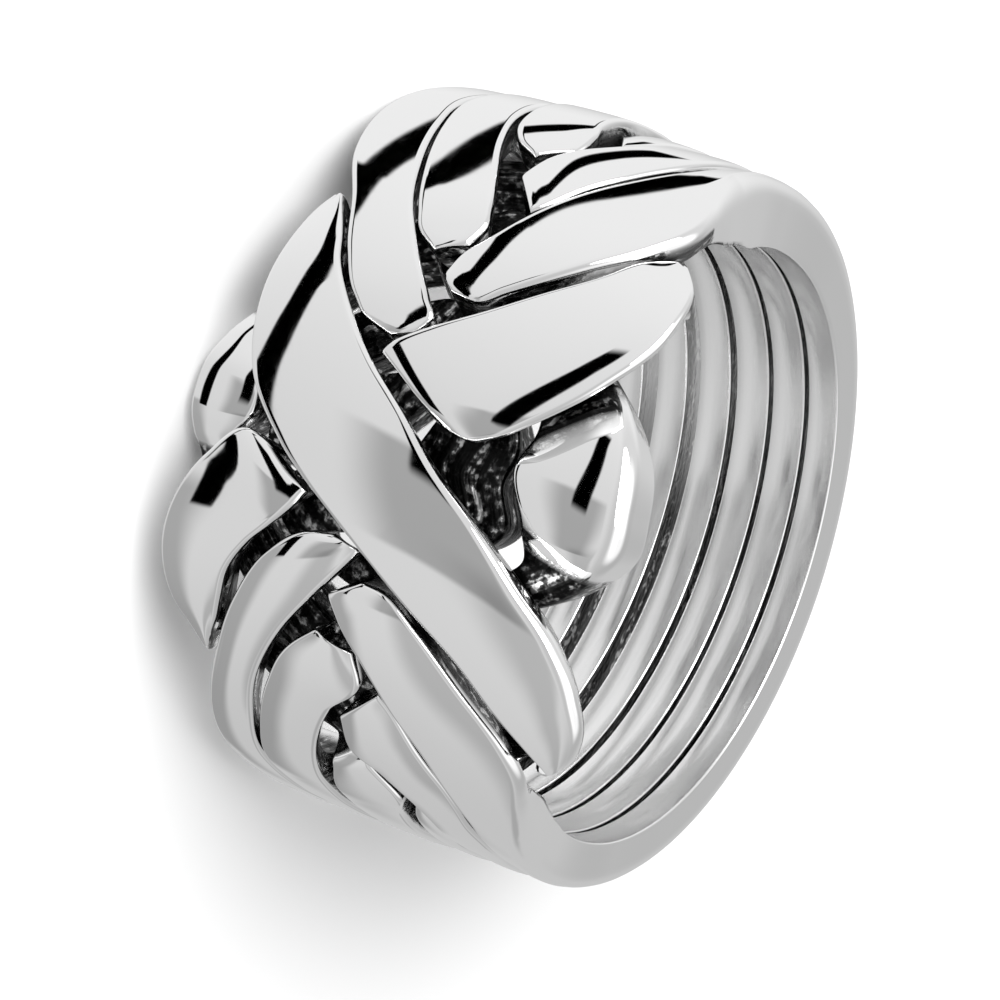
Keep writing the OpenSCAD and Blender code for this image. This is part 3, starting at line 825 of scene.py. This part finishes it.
# %% [markdown]
# A mirror needs something to mirror. The world is a soft white tent, and dark cards stand in it
# as they do in a jeweller's photo tent. The silver draws them as the black streaks that make it
# look like metal. All of them stand lower than the ring, because the camera looks down on the
# head, and its upright tops mirror what lies lower still. The bearing and the height of a point
# of the tent are all that is needed to draw on it. The bearing is 0 straight in front of the
# head, and grows towards the right shoulder.

# %% The tent and its bearings
world = bpy.data.worlds.new("soft_tent")
bpy.context.scene.world = world
world.use_nodes = True
tent = world.node_tree
way = tent.nodes.new("ShaderNodeSeparateXYZ")
tent.links.new(tent.nodes.new("ShaderNodeTexCoord").outputs["Generated"], way.inputs[0])
DEGREES = 180 / math.pi
forward = maths(tent, "MULTIPLY", way.outputs["Y"], -1.0)
bearing = maths(tent, "MULTIPLY", maths(tent, "ARCTAN2", way.outputs["X"], forward), DEGREES)
height = maths(tent, "MULTIPLY", maths(tent, "ARCSINE", way.outputs["Z"]), DEGREES)


def times(first, second):
    """Two values of the tent multiplied."""
    return maths(tent, "MULTIPLY", first, second)


def grade(source, start, end, first, second):
    """A smooth change from the first value to the second between two places."""
    made = tent.nodes.new("ShaderNodeMapRange")
    made.interpolation_type = "SMOOTHSTEP"
    limits = {"From Min": start, "From Max": end, "To Min": first, "To Max": second}
    for name, value in limits.items():
        made.inputs[name].default_value = value
    tent.links.new(source, made.inputs["Value"])
    return made.outputs[0]


print("tent:", world.name)

# %% [markdown]
# The plain cloth is not equally bright all round. It is brightest to the left and falls off to
# the front and the right. The bearing jumps from 180 to -180 behind the ring, so the left end
# starts as dark as the right one ends, or a bright seam would cross the rim. The roof is the
# brightest part, as the cloth under a skylight.

# %% The light of the bare cloth
ROOF_LIGHT = 2.2
light = times(grade(bearing, -90, 20, 0.9, 0.7), grade(bearing, 30, 130, 1.0, 0.82))
light = times(light, grade(bearing, -178, -135, 0.64, 1.0))
light = times(light, grade(height, 0, 25, 1.0, 0.82))
light = times(light, grade(height, 35, 65, 1.0, ROOF_LIGHT))
print("the roof is", ROOF_LIGHT, "times as bright as the walls under it")

# %% [markdown]
# A card is a row of the table: the bearing and the height of its middle, its half length and
# half width, its tilt, how soft its ends and its long edges are, all in degrees as the ring sees
# them, and how dark it is. The first three are black and sharp, and draw the streaks. The last
# three are grey and soft, and only shade the tops. The cloth gives matt things a little less
# light than it shows in the silver, which leaves room for the lamp's shadow on the table. The
# tones of the picture are left plain, so that white cloth stays white.

# %% Dark cards in the tent
cards = [
    (-107, -32.2, 31, 1.3, 0, 3.0, 0.6, 1.0),
    (-26, -33.4, 50, 2.2, 0, 2.5, 0.6, 1.0),
    (-19, -11.5, 18, 2.4, -4, 4.0, 0.8, 1.0),
    (11, -13.0, 15, 5.0, 0, 3.0, 7.0, 0.44),
    (80, -43, 60, 5.0, 0, 12.0, 9.0, 0.42),
    (80, -6, 55, 3.0, 0, 10.0, 9.0, 0.3),
]
MATT_LOSS = 0.12


def card_shade(middle, high, half_length, half_width, tilt, soft_ends, soft_edges, dark):
    """How dark the tent is made by one card, as a socket."""
    x, y = maths(tent, "SUBTRACT", bearing, middle), maths(tent, "SUBTRACT", height, high)
    cos, sin = math.cos(math.radians(tilt)), math.sin(math.radians(tilt))
    along = maths(tent, "ADD", times(x, cos), times(y, sin))
    across = maths(tent, "SUBTRACT", times(y, cos), times(x, sin))
    ends = grade(maths(tent, "ABSOLUTE", along), half_length, half_length + soft_ends, dark, 0.0)
    edges = grade(maths(tent, "ABSOLUTE", across), half_width, half_width + soft_edges, 1.0, 0.0)
    return times(ends, edges)


for card in cards:
    light = times(light, maths(tent, "SUBTRACT", 1.0, card_shade(*card)))
matt_ray = tent.nodes.new("ShaderNodeLightPath").outputs["Is Diffuse Ray"]
light = times(light, maths(tent, "SUBTRACT", 1.0, times(matt_ray, MATT_LOSS)))
tent.links.new(light, tent.nodes["Background"].inputs["Strength"])
tent.nodes["Background"].inputs["Color"].default_value = (1, 1, 1, 1)
bpy.context.scene.view_settings.view_transform = "Standard"
print("dark cards:", len(cards))

# %% [markdown]
# One broad lamp stands high in front of the left shoulder. It makes the table bright and lays a
# soft shadow behind the right shoulder, which ties the ring to the table. It is about as wide as
# it is far away, because a small lamp would draw a hard edge round that shadow.

# %% A broad lamp
LAMP_PLACE = (-0.2, -0.2, 0.27)
LAMP_WIDTH, LAMP_WATTS = 0.36, 1.6
lamp_data = bpy.data.lights.new("broad_lamp", "AREA")
lamp_data.shape = "DISK"
lamp_data.size = LAMP_WIDTH
lamp_data.energy = LAMP_WATTS
lamp = bpy.data.objects.new("broad_lamp", lamp_data)
bpy.context.scene.collection.objects.link(lamp)
lamp.location = LAMP_PLACE
lamp.rotation_euler = (-lamp.location).to_track_quat("-Z", "Y").to_euler()
print("lamp at", [round(v, 2) for v in lamp.location])

# %% [markdown]
# The camera stands where it sees the ring as the picture shows it: a long lens from a little
# over a hand's breadth away, looking into the head from above its middle, and turned on its
# side. Its place is given round the upright ring and laid down with it. It looks down by the
# tilt, is rolled by the turn, and slides sideways until the ring is in the middle of the frame.

# %% The camera
LENS_MM = 161.37
TILT, TURN = math.radians(27.5506), math.radians(108.2934)
SLIDE_RIGHT, SLIDE_UP, DISTANCE = 5.399, -1.386, 130.0
UPPER_RIM = Vector((0, 0, 3.9))
ahead = Vector((0, math.cos(TILT), -math.sin(TILT)))
level = Vector((1, 0, 0))
over = Vector((0, math.sin(TILT), math.cos(TILT)))
right = math.cos(TURN) * level + math.sin(TURN) * over
upward = -math.sin(TURN) * level + math.cos(TURN) * over
stand = UPPER_RIM - SLIDE_RIGHT * right - SLIDE_UP * upward - DISTANCE * ahead
camera_data = bpy.data.cameras.new("ring_camera")
camera_data.lens = LENS_MM
camera_data.clip_start, camera_data.clip_end = 0.01, 10
camera = bpy.data.objects.new("ring_camera", camera_data)
bpy.context.scene.collection.objects.link(camera)
turned = Matrix((right, upward, -ahead)).transposed().to_4x4()
camera.matrix_world = lying @ Matrix.Translation(stand * MM) @ turned
bpy.context.scene.camera = camera
print("camera at", [round(v, 4) for v in camera.matrix_world.translation])
